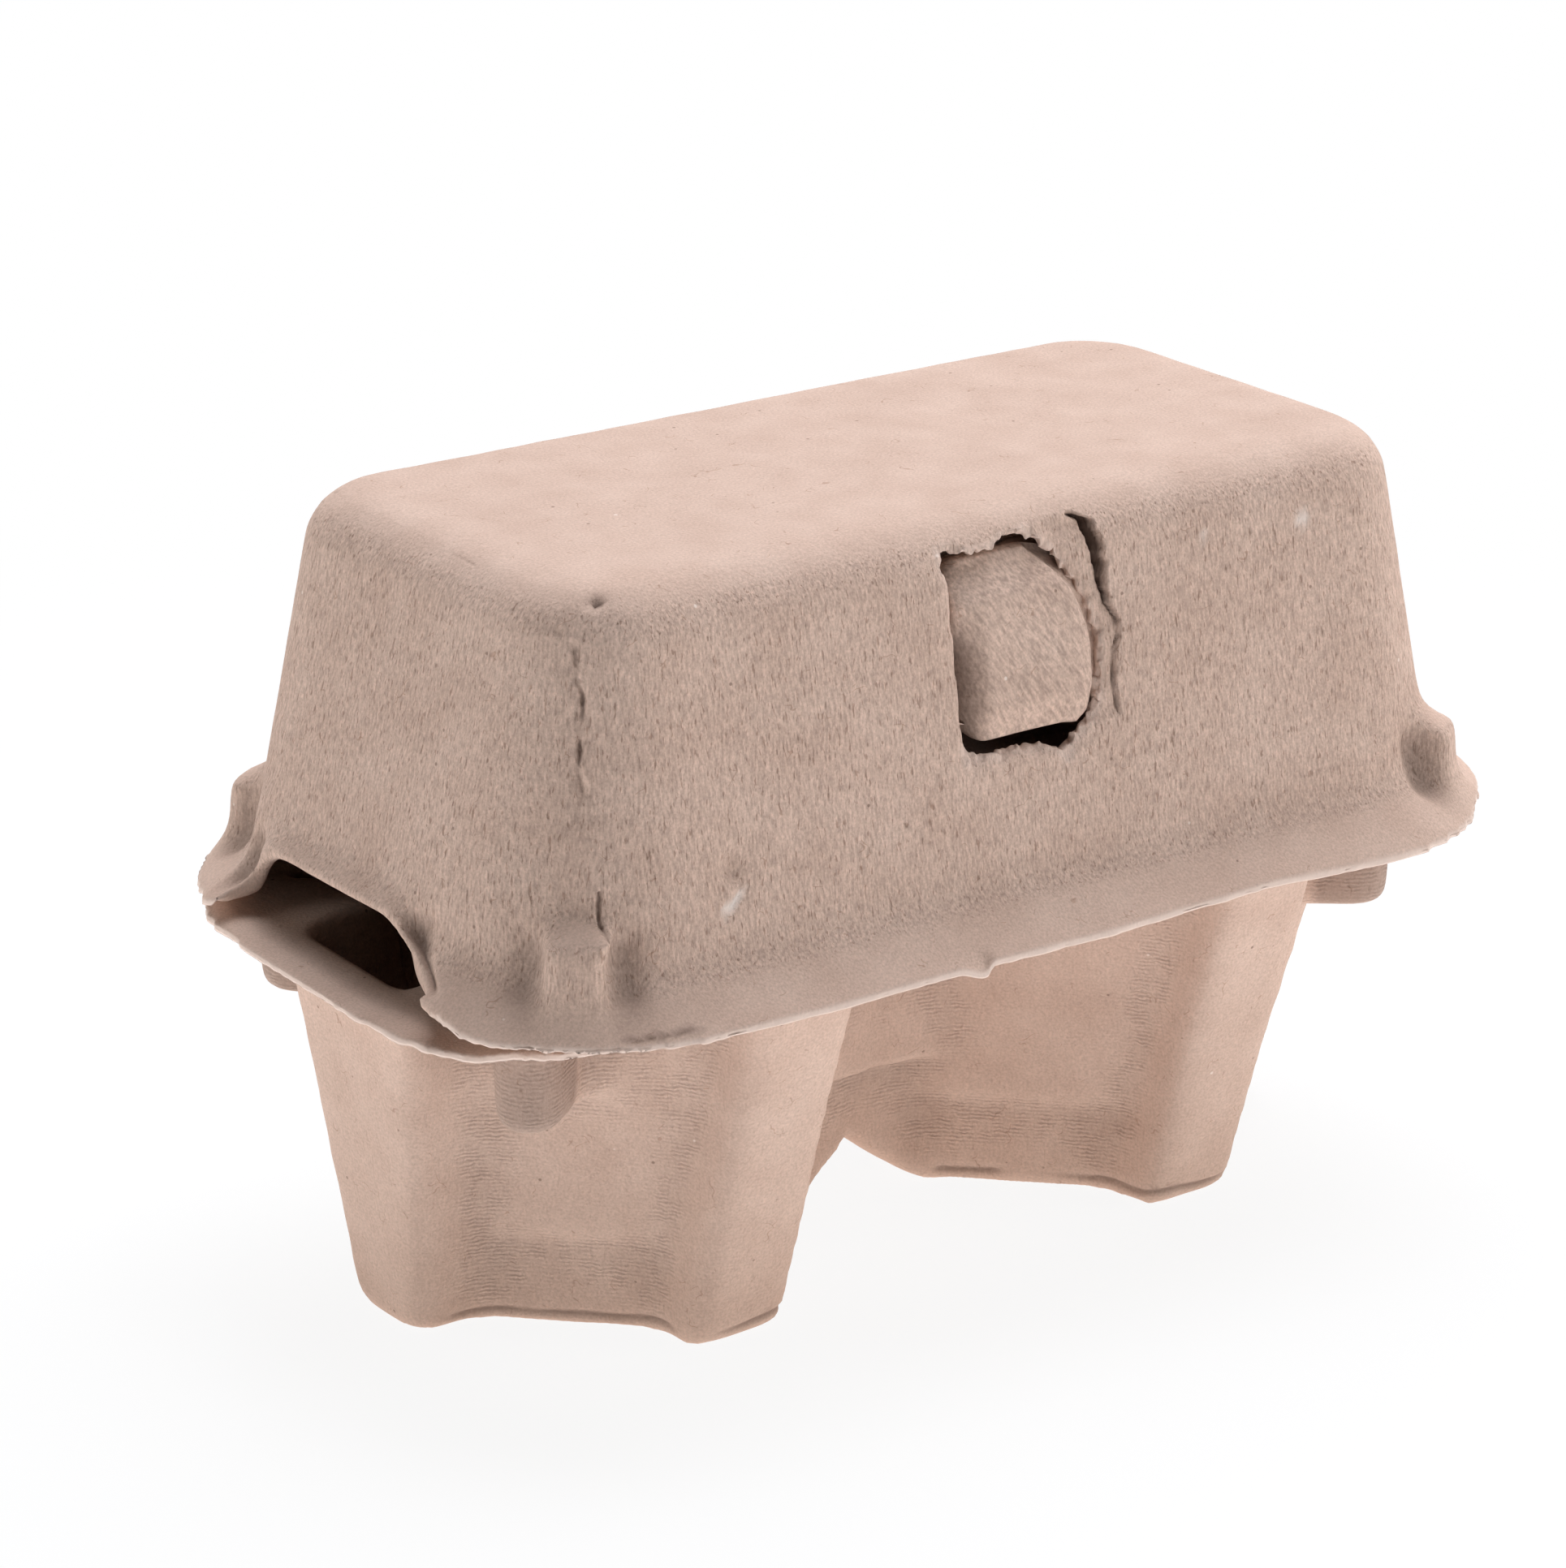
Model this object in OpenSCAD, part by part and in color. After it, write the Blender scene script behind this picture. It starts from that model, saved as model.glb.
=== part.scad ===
// Moulded-pulp egg box for two eggs: a tray of two cups under a hinged lid.
// X runs along the box, -Y is the front, Z is up. The origin is under the middle of the feet.

/* [Box] */
// Length over the rims
box_l = 105; // [98:1:120]
// Depth from the front of the lid's rim to the hinge fold
box_d = 60; // [56:1:70]
// Height of the closed box
box_h = 65; // [60:1:74]
// Height at which the lid meets the tray
mating_h = 33; // [30:1:36]
// Thickness of the pulp
pulp = 1.4; // [1:0.1:1.6]
// Clearance between the lid and the tray
gap = 0.3; // [0.2:0.05:0.5]

/* [Rims] */
// Width of the rims at the two ends
rim_end = 3.5; // [2.5:0.1:5]
// Width of the lid's rim along the front
rim_front = 4; // [3:0.1:5]
// Width of the tray's rim along the front, where the lid hides it
tray_rim_front = 1.2; // [0.5:0.1:2.5]
// Plan radius of the rims' corners
rim_r = 19; // [14:0.5:22]
// Fillet from the lid's rim up into its walls
rim_fillet = 3; // [1:0.1:3.4]

/* [Lid] */
// Draft of the lid's end walls in degrees
lid_end_draft = 13.2; // [8:0.1:16]
// Draft of the lid's front and back walls in degrees
lid_side_draft = 9.8; // [6:0.1:12]
// Plan radius of the lid's corners at the rim
lid_base_r = 16; // [12:0.5:18]
// Plan radius of the lid's corners at the top
lid_top_r = 9; // [7:0.5:12]
// Fillet round the top face
top_fillet = 4.9; // [3:0.1:6]

/* [Window] */
// Width of the window in the lid's front wall
window_w = 16.4; // [14:0.2:20]
// Height of the window's sill above the mating plane
window_sill = 15; // [13:0.5:18]
// Depth of the window's upper edge below the top face
window_drop = 1.6; // [0.8:0.1:6]
// Corner radius of the window
window_r = 0.8; // [0.4:0.1:2]

/* [Vents] */
// Width of the vent in each end wall of the lid
vent_w = 20; // [12:0.5:22]
// Height of the vent above the mating plane
vent_h = 4.7; // [4.4:0.1:7]
// Radius of the vent's upper corners
vent_r = 2.6; // [1:0.1:4]
// Radius of the flare where the vent runs out into the rim
vent_flare = 2; // [1.8:0.1:3]
// How far the lip over the vent stands out from the wall
vent_lip = 1.4; // [0.5:0.1:2]

/* [Corner posts] */
// Width of the post on each corner of the lid
post_w = 5.8; // [5:0.2:8]
// Height of the posts above the mating plane
post_h = 7.6; // [5:0.2:12]
// How far a post's face stands out from the wall at the rim
post_proud = 1.8; // [1:0.1:2.4]
// Direction of the posts from the corners' centres, in degrees from the box's length
post_turn = 52; // [40:1:60]
// Width of the rims' ears round the posts
ear_w = 1.6; // [1:0.1:3]

/* [Cups] */
// Distance between the centres of the two cups
cup_pitch = 46.6; // [44:0.2:50]
// Draft of the cups' end walls in degrees
cup_end_draft = 8.6; // [7:0.2:13]
// Draft of the cups' front walls in degrees
cup_front_draft = 16.2; // [12:0.2:18]
// Draft of the cups' back walls in degrees
cup_back_draft = 5; // [4:0.5:12]
// Half-width of the lobes at their feet
lobe_foot_w = 4.8; // [3.5:0.1:5.5]
// Reach of the end lobes towards the front at the rim
end_lobe_front = 8; // [6:0.1:10]
// Reach of the end lobes towards the back at the rim
end_lobe_back = 10.2; // [6:0.1:11]
// Half-width of the front and back lobes at the rim
side_lobe_w = 5; // [4.5:0.1:8]
// Reach of the inner lobe's foot towards the other cup
inner_foot = 16.2; // [15:0.2:19]
// Distance from a cup's axis to its diagonal panels at the floor
panel_foot = 13.8; // [10.5:0.1:14]
// The same distance at the crease
panel_crease = 15.2; // [14.8:0.1:16]
// The same distance at the rim
panel_top = 19.5; // [17:0.2:22]
// Height of the crease across the diagonal panels
crease_h = 9; // [8.5:0.5:14]
// Depth of the step under the crease
crease_step = 0.7; // [0.4:0.1:1]
// Height of the bridge's underside between the cups
bridge_h = 6; // [4:0.5:7.5]
// Half-width of the bridge in the pocket under its shoulder
bridge_w = 3; // [2.6:0.1:4]
// Height of the bridge's shoulder
shoulder_h = 13; // [11:0.5:18]
// Half-width of the bridge above its shoulder
shoulder_w = 5.8; // [4.5:0.1:6.5]
// Rounding where the walls meet the floor
foot_round = 1; // [0.6:0.1:1.4]
// Rounding of the lobes' edges and the valleys beside them
lobe_round = 2; // [1:0.1:2.5]

/* [Lugs] */
// Width of the half-round lug on each outer diagonal of the cups
lug_w = 5.8; // [5.2:0.2:8]
// How far the lugs hang below the mating plane
lug_h = 10.2; // [6:0.2:15]
// Reach of a lug's face from the cup's axis
lug_reach = 27.4; // [25:0.2:28.4]
// Direction of a lug from the cup's axis, in degrees from the box's length
lug_turn = 44; // [38:1:48]
// Rounding of the lugs' outer edges
lug_round = 2.4; // [2:0.1:2.6]

/* [Lock flap] */
// Width of the flap at its root
flap_w = 34; // [28:1:40]
// Width of the flap at its top
flap_top_w = 26; // [22:1:30]
// Clearance of the flap's top under the lid's top
flap_clear = 1.8; // [1:0.1:4]
// Corner radius of the flap
flap_r = 5; // [2:0.5:7]
// Width of the button on the flap
button_w = 13.8; // [9:0.2:13.8]
// Height of the button's lower edge above the mating plane
button_low = 16.6; // [15:0.2:19]
// Depth of the button's upper edge below the flap's top
button_drop = 0.8; // [0.4:0.1:3]
// Relief of the button on the flap
button_depth = 2.2; // [1.4:0.1:2.6]
// Corner radius of the button
button_r = 2; // [1:0.1:3]

/* [Hinge] */
// Radius of the folded pulp along the back
fold_r = 1.3; // [1.1:0.1:1.6]
// Length of the fold
fold_l = 68; // [50:1:72]

/* [Hidden] */
$fn = 48;
overlap = 0.6;
corner_steps = 8;
curve_steps = 4;
vent_steps = 32;
swing_steps = 180;
// Largest share of a cup's short sides that the rounding takes
round_share = 0.45;
far = box_l;
pulp_color = "#c6ab9a";

wall_x = box_l / 2 - rim_end;
wall_y = box_d / 2 - rim_front;
lid_z = mating_h + gap;
shoulder_z = box_h - top_fillet;
hinge_y = box_d / 2 - fold_r;
hinge_z = mating_h + gap / 2;
// Nearest that the inner face of the lid's front wall comes to the hinge line
swing_r = (hinge_y + wall_y - pulp) * cos(lid_side_draft);
button_face = swing_r - gap;
flap_face = button_face - button_depth;
flap_h = box_h - mating_h - pulp - flap_clear;
// How far the tray's rim runs into the flap and into the fold
flap_root = pulp * 0.7;
fold_root = fold_r / 3;
cup_x = cup_pitch / 2;
post_x = wall_x - lid_base_r;
post_y = wall_y - lid_base_r;
post_face = lid_base_r + post_proud;

function mix(a, b, t) = a + (b - a) * t;
function share(z, low, high) = (z - low) / (high - low);

// Rounded rectangle of half-sizes a and b, with corners of radius r, at height z
function round_rect(a, b, r, z) = [
    for (corner = [0:3], step = [0:corner_steps])
        let (turn = 90 * (corner + step / corner_steps),
             side_x = corner == 0 || corner == 3 ? 1 : -1,
             side_y = corner < 2 ? 1 : -1)
        [side_x * (a - r) + r * cos(turn), side_y * (b - r) + r * sin(turn), z]];

// Solid through a stack of rings that have the same number of points
module loft(rings) {
    count = len(rings[0]);
    last = (len(rings) - 1) * count;
    function middle(ring) = [for (axis = [0:2])
        let (places = [for (p = ring) p[axis]]) (min(places) + max(places)) / 2];
    points = concat([for (ring = rings) each ring], [middle(rings[0]), middle(rings[len(rings) - 1])]);
    sides = [for (base = [0:count:last - count], i = [0:count - 1])
        let (a = base + i, b = base + (i + 1) % count)
        each [[a, a + count, b + count], [a, b + count, b]]];
    low_cap = [for (i = [0:count - 1]) [last + count, i, (i + 1) % count]];
    high_cap = [for (i = [0:count - 1]) [last + count + 1, last + (i + 1) % count, last + i]];
    polyhedron(points, concat(low_cap, sides, high_cap));
}

// Copies a shape to the four corners
module at_corners() {
    for (flip_x = [0, 1], flip_y = [0, 1])
        mirror([flip_x, 0, 0]) mirror([0, flip_y, 0]) children();
}

// Slab swept about the hinge line, out to radius r, between two heights over the mating plane
module swing_slab(r, depth, width, low, high) {
    from = asin((low - gap / 2) / r);
    to = asin((high - gap / 2) / r);
    translate([-width / 2, hinge_y, hinge_z]) rotate([0, 90, 0])
        rotate_extrude(angle = to - from, start = 270 - to, $fn = swing_steps)
            translate([r - depth, 0]) square([depth, width]);
}

// Rounded upright plate seen from the front, with its foot on the mating plane
module front_plate(low_w, high_w, low, high, r) {
    translate([0, 0, mating_h]) rotate([90, 0, 0]) linear_extrude(far)
        offset(r) offset(-r)
            polygon([[-low_w / 2, low], [low_w / 2, low], [high_w / 2, high], [-high_w / 2, high]]);
}

// Lid: half-sizes and corner radius of its walls at height z
function lid_a(z) = wall_x - (z - mating_h) * tan(lid_end_draft);
function lid_b(z) = wall_y - (z - mating_h) * tan(lid_side_draft);
function lid_r(z) = mix(lid_base_r, lid_top_r, share(z, mating_h, shoulder_z));
function lid_ring(z, inset) = round_rect(lid_a(z) - inset, lid_b(z) - inset, lid_r(z) - inset, z);
function dome_ring(turn, fillet, inset) =
    let (back = inset + fillet * (1 - cos(turn)), z = shoulder_z + fillet * sin(turn))
    round_rect(lid_a(shoulder_z) - back, lid_b(shoulder_z) - back, lid_top_r - back, z);
function rim_fillet_ring(turn) =
    let (z = lid_z + pulp + rim_fillet * (1 - cos(turn)), out = rim_fillet * (1 - sin(turn)))
    round_rect(lid_a(z) + out, lid_b(z) + out, lid_r(z) + out, z);

module lid_outside() {
    loft(concat(
        [for (z = [lid_z, lid_z + pulp]) round_rect(box_l / 2, box_d / 2, rim_r, z)],
        [for (step = [0:curve_steps]) rim_fillet_ring(90 * step / curve_steps)],
        [for (step = [0:curve_steps]) dome_ring(90 * step / curve_steps, top_fillet, 0)]));
}

module lid_inside() {
    loft(concat(
        [lid_ring(lid_z - gap, pulp)],
        [for (step = [0:curve_steps]) dome_ring(90 * step / curve_steps, top_fillet - pulp, pulp)]));
}

// Round rod along the hinge line
module hinge_rod(r, length) {
    translate([0, hinge_y, hinge_z]) rotate([0, 90, 0]) cylinder(r = r, h = length, center = true);
}

// Upright post with round edges that stands out from a place in the direction of a turn
module post(place, turn, face, width, low, high, edge) {
    translate([place[0], place[1], low]) rotate(turn) hull()
        for (along = [face / 2, face - edge], side = [-1, 1])
            translate([along, side * (width / 2 - edge), 0]) cylinder(r = edge, h = high - low);
}

// Ears of the rims round the posts
module ears() {
    at_corners() translate([post_x, post_y]) rotate(post_turn) translate([post_face - post_w / 2, 0])
        circle(post_w / 2 + ear_w);
}

// Outline of the arched vent, which runs out into the rim, grown by a wall's thickness
module vent_outline(wall) {
    flare = vent_flare - wall;
    half = vent_w / 2 - vent_r;
    offset(r = -flare, $fn = vent_steps) offset(delta = flare) {
        hull() for (side = [-1, 1], low = [0, vent_h + vent_r])
            translate([side * half, mating_h + vent_h - vent_r - low])
                circle(vent_r + wall, $fn = vent_steps);
        translate([-vent_w, mating_h - vent_h]) square([2 * vent_w, vent_h + gap / 2 + wall]);
    }
}

// Prism of an end view's outline, from a distance along the box outwards
module end_prism(from, length) {
    translate([from, 0, 0]) rotate([90, 0, 90]) linear_extrude(length) children();
}

// Lip over the vent, as thick as the pulp, from inside the end wall
module vent_hood() {
    foot = wall_x - box_h * tan(lid_end_draft) / 2;
    end_prism(foot, wall_x + vent_lip - vent_h * tan(lid_end_draft) - foot) intersection() {
        vent_outline(pulp);
        translate([-vent_w, lid_z + pulp / 2]) square([2 * vent_w, 2 * vent_h]);
    }
}

module lid() {
    post_place = [post_x, post_y];
    post_top = mating_h + post_h;
    color(pulp_color) difference() {
        union() {
            lid_outside();
            at_corners() post(post_place, post_turn, post_face, post_w, lid_z, post_top, pulp);
            translate([0, 0, lid_z]) linear_extrude(pulp) ears();
            for (flip = [0, 1]) mirror([flip, 0, 0]) vent_hood();
        }
        lid_inside();
        at_corners() post(post_place, post_turn, post_face - pulp, post_w - 2 * pulp,
            mating_h, post_top - pulp, pulp / 2);
        front_plate(window_w, window_w, window_sill, box_h - mating_h - window_drop, window_r);
        for (flip = [0, 1]) mirror([flip, 0, 0]) end_prism(0, far) vent_outline(0);
        // Room for the fold to turn in
        hinge_rod(fold_r + gap, far);
        translate([-far / 2, hinge_y - fold_r, mating_h]) cube([far, far, 2 * pulp]);
    }
}

// Cup: reach of its walls from the middle of the box, and its section, at height z
function cup_end(z) = wall_x - (mating_h - z) * tan(cup_end_draft);
function cup_front(z) = wall_y - (mating_h - z) * tan(cup_front_draft);
function cup_back(z) = wall_y - (mating_h - z) * tan(cup_back_draft);
function cup_y(z) = (cup_back(z) - cup_front(z)) / 2;
function inner_reach(z) = mix(inner_foot, cup_x + overlap, min(z / bridge_h, 1));
function panel(z) = z < crease_h
    ? mix(panel_foot, panel_crease - crease_step, z / crease_h)
    : mix(panel_crease, panel_top, share(z, crease_h, mating_h));

// Corners of one quarter of a cup: lobe edge, valley, valley, lobe edge
function quarter(reach_x, half_x, reach_y, half_y, diagonal) = [
    [reach_x, half_x],
    [diagonal * sqrt(2) - half_x, half_x],
    [half_y, diagonal * sqrt(2) - half_y],
    [half_y, reach_y]];

// Round-cornered copy of a closed outline, with the same number of points at every corner
function rounded(outline, r) = [
    for (i = [0:len(outline) - 1])
        let (count = len(outline), p = outline[i],
             before = outline[(i + count - 1) % count] - p, after = outline[(i + 1) % count] - p,
             a = p + before * min(round_share, r / norm(before)),
             b = p + after * min(round_share, r / norm(after)))
        for (t = [0, 0.5, 1]) mix(mix(a, p, t), mix(p, b, t), t)];

// Section of the right-hand cup as it is at height z, drawn in by an inset and laid at a level
function cup_ring(z, level, inset) =
    let (deep = (cup_back(z) + cup_front(z)) / 2 - inset,
         half_side = mix(lobe_foot_w, side_lobe_w, z / mating_h) - inset,
         half_front = mix(lobe_foot_w, end_lobe_front, z / mating_h) - inset,
         half_back = mix(lobe_foot_w, end_lobe_back, z / mating_h) - inset,
         half_bridge = mix(lobe_foot_w, bridge_w, min(z / bridge_h, 1)),
         half_inner = (z < shoulder_h ? half_bridge : shoulder_w) - inset,
         reach = cup_end(z) - cup_x - inset,
         outer_back = quarter(reach, half_back, deep, half_side, panel(z) - inset),
         outer_front = quarter(reach, half_front, deep, half_side, panel(z) - inset),
         inner_end = inner_reach(z) - (z < bridge_h ? inset : 0),
         inner = quarter(inner_end, half_inner, deep, half_side, panel(z) - inset),
         outline = concat(
            [for (i = [0:3]) outer_back[i]],
            [for (i = [3:-1:0]) [-inner[i][0], inner[i][1]]],
            [for (i = [0:3]) [-inner[i][0], -inner[i][1]]],
            [for (i = [3:-1:0]) [outer_front[i][0], -outer_front[i][1]]]))
    [for (p = rounded(outline, lobe_round)) [cup_x + p[0], cup_y(z) + p[1], level]];

module cup(inset, lift, top) {
    levels = [foot_round, bridge_h, crease_h - crease_step, crease_h,
        shoulder_h - crease_step, shoulder_h, (shoulder_h + mating_h) / 2, mating_h];
    loft(concat(
        [cup_ring(0, lift, inset + foot_round / 2)],
        [for (z = levels) cup_ring(z, min(z + lift, top), inset)]));
}

module cups(inset, lift, top) {
    for (flip = [0, 1]) mirror([flip, 0, 0]) cup(inset, lift, top);
}

// Locking flap that stands up behind the lid's front wall, with the button that shows in the window
module flap() {
    root = hinge_y - flap_face;
    translate([-flap_w / 2, -wall_y, mating_h - pulp]) cube([flap_w, root + wall_y + flap_root, pulp]);
    intersection() {
        swing_slab(flap_face, pulp, 2 * flap_w, -pulp / 2, flap_h + pulp);
        front_plate(flap_w, flap_top_w, -flap_r, flap_h, flap_r);
    }
    button_top = flap_h - button_drop;
    intersection() {
        swing_slab(button_face, button_depth + pulp / 2, 2 * button_w, button_low - pulp, button_top + pulp);
        front_plate(button_w, button_w, button_low, button_top, button_r);
    }
}

module tray_rim() {
    back_y = hinge_y + fold_root;
    depth = back_y + wall_y + tray_rim_front;
    translate([0, 0, mating_h - pulp]) linear_extrude(pulp) {
        translate([0, back_y - depth / 2])
            polygon([for (p = round_rect(box_l / 2, depth / 2, rim_r, 0)) [p[0], p[1]]]);
        ears();
    }
}

module tray() {
    lug_z = mating_h - lug_h;
    lug_place = [cup_x, cup_y(lug_z)];
    color(pulp_color) {
        difference() {
            union() {
                cups(0, 0, mating_h - pulp / 2);
                tray_rim();
                at_corners() post(lug_place, lug_turn, lug_reach, lug_w,
                    lug_z, mating_h - pulp / 2, lug_round);
            }
            cups(pulp, pulp, mating_h + pulp);
            at_corners() post(lug_place, lug_turn, lug_reach - pulp, lug_w - 2 * pulp,
                lug_z + pulp, mating_h + pulp, lug_round - pulp);
        }
        flap();
        hinge_rod(fold_r, fold_l);
    }
}

tray();
lid();
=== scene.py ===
"""Looks of a moulded-pulp egg box for two eggs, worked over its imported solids."""

import math

import bmesh
import bpy
import numpy as np
from mathutils import Matrix, Vector, noise


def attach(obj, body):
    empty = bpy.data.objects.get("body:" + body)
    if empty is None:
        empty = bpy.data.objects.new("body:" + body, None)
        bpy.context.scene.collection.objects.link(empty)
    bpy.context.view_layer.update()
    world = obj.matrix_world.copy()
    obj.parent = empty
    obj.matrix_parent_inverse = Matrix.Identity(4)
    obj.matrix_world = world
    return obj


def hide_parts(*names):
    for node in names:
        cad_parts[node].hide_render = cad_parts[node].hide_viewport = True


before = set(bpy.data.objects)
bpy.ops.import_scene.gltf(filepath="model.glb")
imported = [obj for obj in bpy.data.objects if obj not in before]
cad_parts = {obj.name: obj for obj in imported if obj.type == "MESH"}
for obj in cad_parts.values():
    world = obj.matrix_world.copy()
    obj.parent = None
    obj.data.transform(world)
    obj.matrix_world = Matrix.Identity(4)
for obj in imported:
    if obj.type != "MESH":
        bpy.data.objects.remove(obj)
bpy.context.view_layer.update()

# The tray: two lobed cups, a bridge, a rim and a locking flap, in one sheet of grey-brown pulp.
# It is sucked onto a wire mould, so its outside has soft edges and the print of the wire, and it
# has dried a little out of true. Its solid gets an even felt, which is worked in millimetres.
mm = 0.001
merge_reach = 0.002
cup_x, cup_y = 23.3, 1.1
tray_rim = {"half_x": 52.5, "low_y": -27.2, "high_y": 29.13, "corner": 19}


def blank(node, name):
    """New piece with a merged copy of a node's solid."""
    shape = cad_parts[node].data.copy()
    shape.materials.clear()
    sheet = bmesh.new()
    sheet.from_mesh(shape)
    bmesh.ops.remove_doubles(sheet, verts=sheet.verts, dist=merge_reach * mm)
    sheet.to_mesh(shape)
    sheet.free()
    piece = bpy.data.objects.new(name, shape)
    bpy.context.scene.collection.objects.link(piece)
    return piece


def settled(piece):
    """Replaces a piece's mesh by what its modifiers make of it."""
    evaluated = piece.evaluated_get(bpy.context.evaluated_depsgraph_get())
    piece.data = bpy.data.meshes.new_from_object(evaluated)
    piece.modifiers.clear()


def felt(piece, grain, soften):
    """Even quad skin over a piece, with its edges softened, as a sheet to be worked."""
    remesh = piece.modifiers.new("felt", "REMESH")
    remesh.mode = "VOXEL"
    remesh.voxel_size = grain * mm
    settled(piece)
    sheet = bmesh.new()
    sheet.from_mesh(piece.data)
    for _ in range(soften):
        bmesh.ops.smooth_vert(sheet, verts=sheet.verts, factor=0.5,
                              use_axis_x=True, use_axis_y=True, use_axis_z=True)
    return sheet


def places_of(sheet):
    """Places of the vertices in millimetres, and their normals."""
    sheet.normal_update()
    sheet.verts.index_update()
    places = np.array([v.co for v in sheet.verts]) / mm
    normals = np.array([v.normal for v in sheet.verts])
    return places, normals


def past_outline(x, y, half_x, low_y, high_y, corner):
    """Distance in plan outside a round-cornered rectangle, negative inside it."""
    over_x = np.abs(x) - half_x + corner
    over_y = np.abs(y - (low_y + high_y) / 2) - (high_y - low_y) / 2 + corner
    outside = np.hypot(np.maximum(over_x, 0), np.maximum(over_y, 0))
    return outside + np.minimum(np.maximum(over_x, over_y), 0) - corner


def refine(sheet, picked):
    """Halves the edges between the picked vertices."""
    edges = [e for e in sheet.edges if picked[e.verts[0].index] and picked[e.verts[1].index]]
    bmesh.ops.subdivide_edges(sheet, edges=edges, cuts=1, use_grid_fill=True)


def neighbours(sheet):
    """Both ends of every edge, each way round, and how many edges meet at each vertex."""
    ends = np.array([(e.verts[0].index, e.verts[1].index) for e in sheet.edges])
    here, there = np.concatenate([ends, ends[:, ::-1]]).T
    return here, there, np.bincount(here, minlength=len(sheet.verts))[:, None]


# The felt is made finer at the flap, along the rim's edge and round the feet.
tray = blank("tray", "tray")
tray_sheet = felt(tray, grain=0.7, soften=2)
places, normals = places_of(tray_sheet)
x, y, z = places.T
by_flap = (z > 46) & (np.abs(x) < 9) & (y < 0)
by_rim = (past_outline(x, y, **tray_rim) > -1.6) & (z > 30) & (y < 22)
by_foot = (z < 2.4) & (normals[:, 2] < 0.3) & (normals[:, 2] > -0.97)
refine(tray_sheet, by_flap | by_rim | by_foot)
places, normals = places_of(tray_sheet)
links = neighbours(tray_sheet)

# The solid's lugs are moved to where the photograph shows them, and softened: the front ones are
# turned sideways and drawn in, the rear ones go backwards, and the valley beside them is cleared.
# x, y and z are views of places here and below, so they follow every move that is made in it.
lug_angle = 45
front_turn, front_inwards = math.radians(7), 1.6
rear_backwards, lug_drop = 2.4, 0.8
valley_reach, valley_draft, valley_z = 18.3, 0.29, 22


def ease(value, start, end):
    """Smooth step from 0 at start to 1 at end, either way round."""
    share = np.clip((value - start) / (end - start), 0, 1)
    return share * share * (3 - 2 * share)


def between(value, start, full, fade, end):
    """Smooth plateau: 0 up to start, 1 from full to fade, and 0 again past end."""
    return ease(value, start, full) * ease(value, end, fade)


def melted(places, links, share, rounds):
    """Places drawn towards their neighbours, by a share of the way, a number of times."""
    here, there, count = links
    share = np.reshape(share, (-1, 1))
    for _ in range(rounds):
        middle = np.stack([np.bincount(here, places[there, axis], len(places)) for axis in range(3)], 1)
        places = places + share * (middle / count - places)
    return places


x, y, z = places.T
from_cup = np.hypot(np.abs(x) - cup_x, y - cup_y)
cup_turn = np.arctan2(y - cup_y, np.abs(x) - cup_x)
off_lug = np.abs(np.degrees(np.abs(cup_turn)) - lug_angle)
on_lug = ease(from_cup, 19.6, 21) * ease(off_lug, 20, 16) * between(z, 20, 22, 30.5, 32)
by_lug = ease(from_cup, 18.6, 19.6) * ease(off_lug, 24, 18) * between(z, 19.5, 21.5, 30.5, 32)
places = melted(places, links, 0.7 * on_lug, 5)
x, y, z = places.T
front_lug, rear_lug = on_lug * (y < 0), on_lug * (y > 0)
from_cup = np.hypot(np.abs(x) - cup_x, y - cup_y) - front_inwards * front_lug
cup_turn = np.arctan2(y - cup_y, np.abs(x) - cup_x) + front_turn * front_lug
beside = between(np.degrees(-cup_turn), 49.5, 52, 60, 64) * between(z, 20, 21.5, 30.8, 31.8)
valley_wall = valley_reach + valley_draft * (z - valley_z)
from_cup = from_cup - beside * np.maximum(from_cup - valley_wall, 0)
lug_shade = 0.52 * on_lug * ease(z, 22.2, 23.4) * ease(from_cup, 20.6, 21.8)
moved_lugs = np.stack([np.sign(x) * (cup_x + from_cup * np.cos(cup_turn)),
                       cup_y + from_cup * np.sin(cup_turn) + rear_backwards * rear_lug,
                       z - lug_drop * on_lug * ease(z, 27, 23)], axis=1)
places = np.where(((on_lug > 0) | (beside > 0))[:, None], moved_lugs, places)
places = melted(places, links, 0.8 * by_lug, 6)
places = melted(places, links, 0.8 * beside, 10)

# The flap stands against the inside of the lid's wall, and its button fills the window like a cushion.
# Under the button the flap is pressed in deep, where it catches the window's sill, and it is tucked
# back at its top right, beside the button's upper end.
hinge_y, hinge_z = 28.7, 33.15
flap_radius, flap_setback = 50.01, 1.85
button_half, button_z = 6.9, 55.3
stretch_below, stretch_above = 0.3, 0.19
button_side = [(45.5, 6.3), (48.3, 6.3), (50, 6.4), (53.6, 6.6), (55.3, 6.3), (56.9, 5.6), (58.3, 4.8),
               (60, 3.5), (62.3, 1.4)]
button_flatter = 0.86
sill_press = 4.6


def front_wall_y(z):
    """Depth of the outer face of the lid's front wall at a height, with the fillet under its top."""
    lid_top, fillet, fillet_y, fillet_from = 65, 4.9, -16.4, 60.4
    wall_y, wall_z, draft = -24.2, 43.6, 0.1727
    over = np.clip(z - (lid_top - fillet), 0, fillet)
    round_y = fillet_y - np.sqrt(fillet ** 2 - over ** 2)
    return np.where(z > fillet_from, round_y, wall_y + draft * (z - wall_z))


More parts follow.
